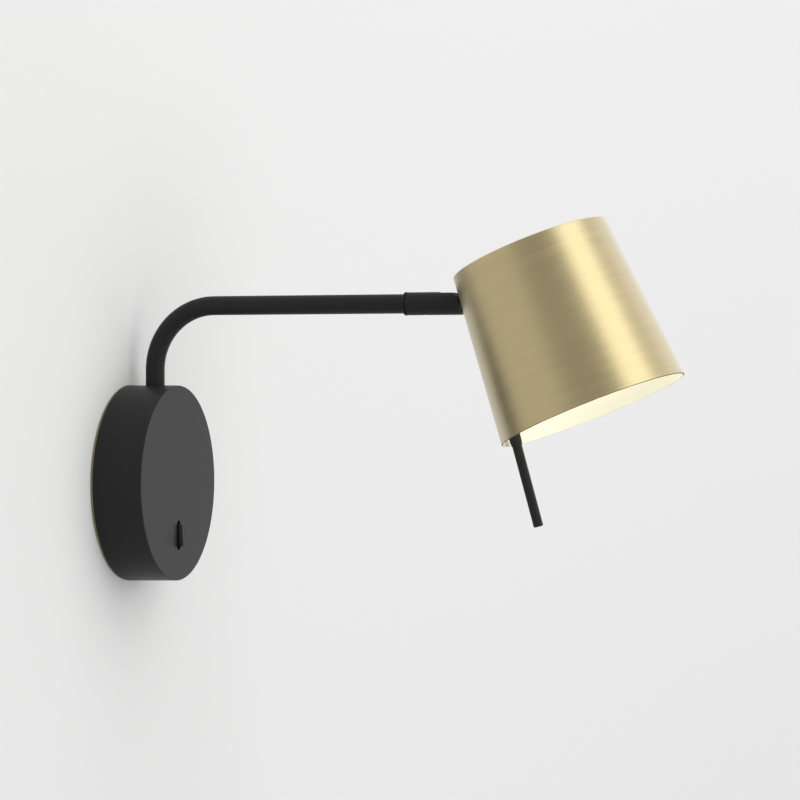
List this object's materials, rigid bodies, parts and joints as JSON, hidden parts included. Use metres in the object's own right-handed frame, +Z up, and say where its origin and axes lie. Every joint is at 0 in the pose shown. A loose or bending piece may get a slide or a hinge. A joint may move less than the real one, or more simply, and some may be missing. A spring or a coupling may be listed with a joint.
{
  "type": "swing arm wall lamp",
  "caption": "Wall lamp with a round base, a swinging bent arm, a rolling and tilting knuckle, a tapered metal shade, a handle rod and a rocker switch.",
  "frame": {"origin": "centre of the wall plate's back face, on the wall", "axes": "+Z up, +Y into the wall, the arm reaches out along -Y"},
  "size_m": [0.124, 0.3573, 0.225],
  "materials": {
    "black_enamel": "satin black powder coat",
    "brushed_brass": "brushed round the axis and lacquered",
    "passivated_steel": "yellow zinc passivated",
    "zinc_steel": "bright zinc plated",
    "turned_brass": "plain turned",
    "black_moulding": "fine moulded texture",
    "black_rocker": "smooth moulded",
    "white_acetal": "plain moulded",
    "black_washer": "plain",
    "black_rubber": "matt",
    "white_silicone": "smooth extruded",
    "white_ceramic": "unglazed",
    "lamp_moulding": "plain moulded",
    "frosted_envelope": "frosted, lit"
  },
  "bodies": {
    "base": {"wall_plate": "passivated_steel", "cable_grommet": "black_rubber", "cover": "black_enamel", "cover_screw": "black_enamel", "switch_body": "black_moulding", "switch_nuts": "zinc_steel", "switch_blades": "turned_brass", "terminal_block": "white_acetal", "terminal_screws": "turned_brass", "earth_washer": "turned_brass", "earth_screw": "turned_brass", "arm_bracket": "zinc_steel", "bracket_screws": "zinc_steel", "lower_bush": "white_acetal", "upper_bush": "white_acetal", "swing_stop_pins": "zinc_steel"},
    "rocker": {"switch_lever": "black_rocker"},
    "arm": {"arm_tube": "black_enamel", "swing_stop_ring": "zinc_steel", "stop_ring_screw": "zinc_steel", "foot_spring_washer": "zinc_steel", "foot_nut": "zinc_steel", "arm_flex": "black_rubber", "arm_ferrule": "black_enamel", "roll_washer": "black_washer"},
    "swivel": {"swivel_collar": "black_enamel", "roll_stop_screw": "black_enamel", "hinge_screw": "zinc_steel", "tilt_washers": "white_acetal"},
    "head": {"shade": "brushed_brass", "knuckle_tongue": "black_enamel", "knuckle_nut": "zinc_steel", "wire_bush": "black_rubber", "head_bracket": "zinc_steel", "lampholder": "white_ceramic", "lampholder_screws": "zinc_steel", "head_leads": "white_silicone", "lamp_base": "lamp_moulding", "lamp_envelope": "frosted_envelope", "handle_socket": "black_enamel", "handle_rod": "black_enamel"}
  },
  "joints": [
    {"name": "arm_swing", "type": "hinge", "parent": "base", "child": "arm", "pos_m": [0, -0.017, 0.025], "axis": [0, 0, 1], "range_deg": [-75, 75]},
    {"name": "switch_toggle", "type": "hinge", "parent": "base", "child": "rocker", "pos_m": [0, -0.028, -0.03345], "axis": [1, 0, 0], "range_deg": [0, 9.2]},
    {"name": "head_roll", "type": "hinge", "parent": "arm", "child": "swivel", "pos_m": [0, -0.194, 0.1116], "axis": [0, -1, 0], "range_deg": [-150, 150]},
    {"name": "head_tilt", "type": "hinge", "parent": "swivel", "child": "head", "pos_m": [0, -0.2113, 0.1116], "axis": [-1, 0, 0], "range_deg": [-17, 45]}
  ]
}
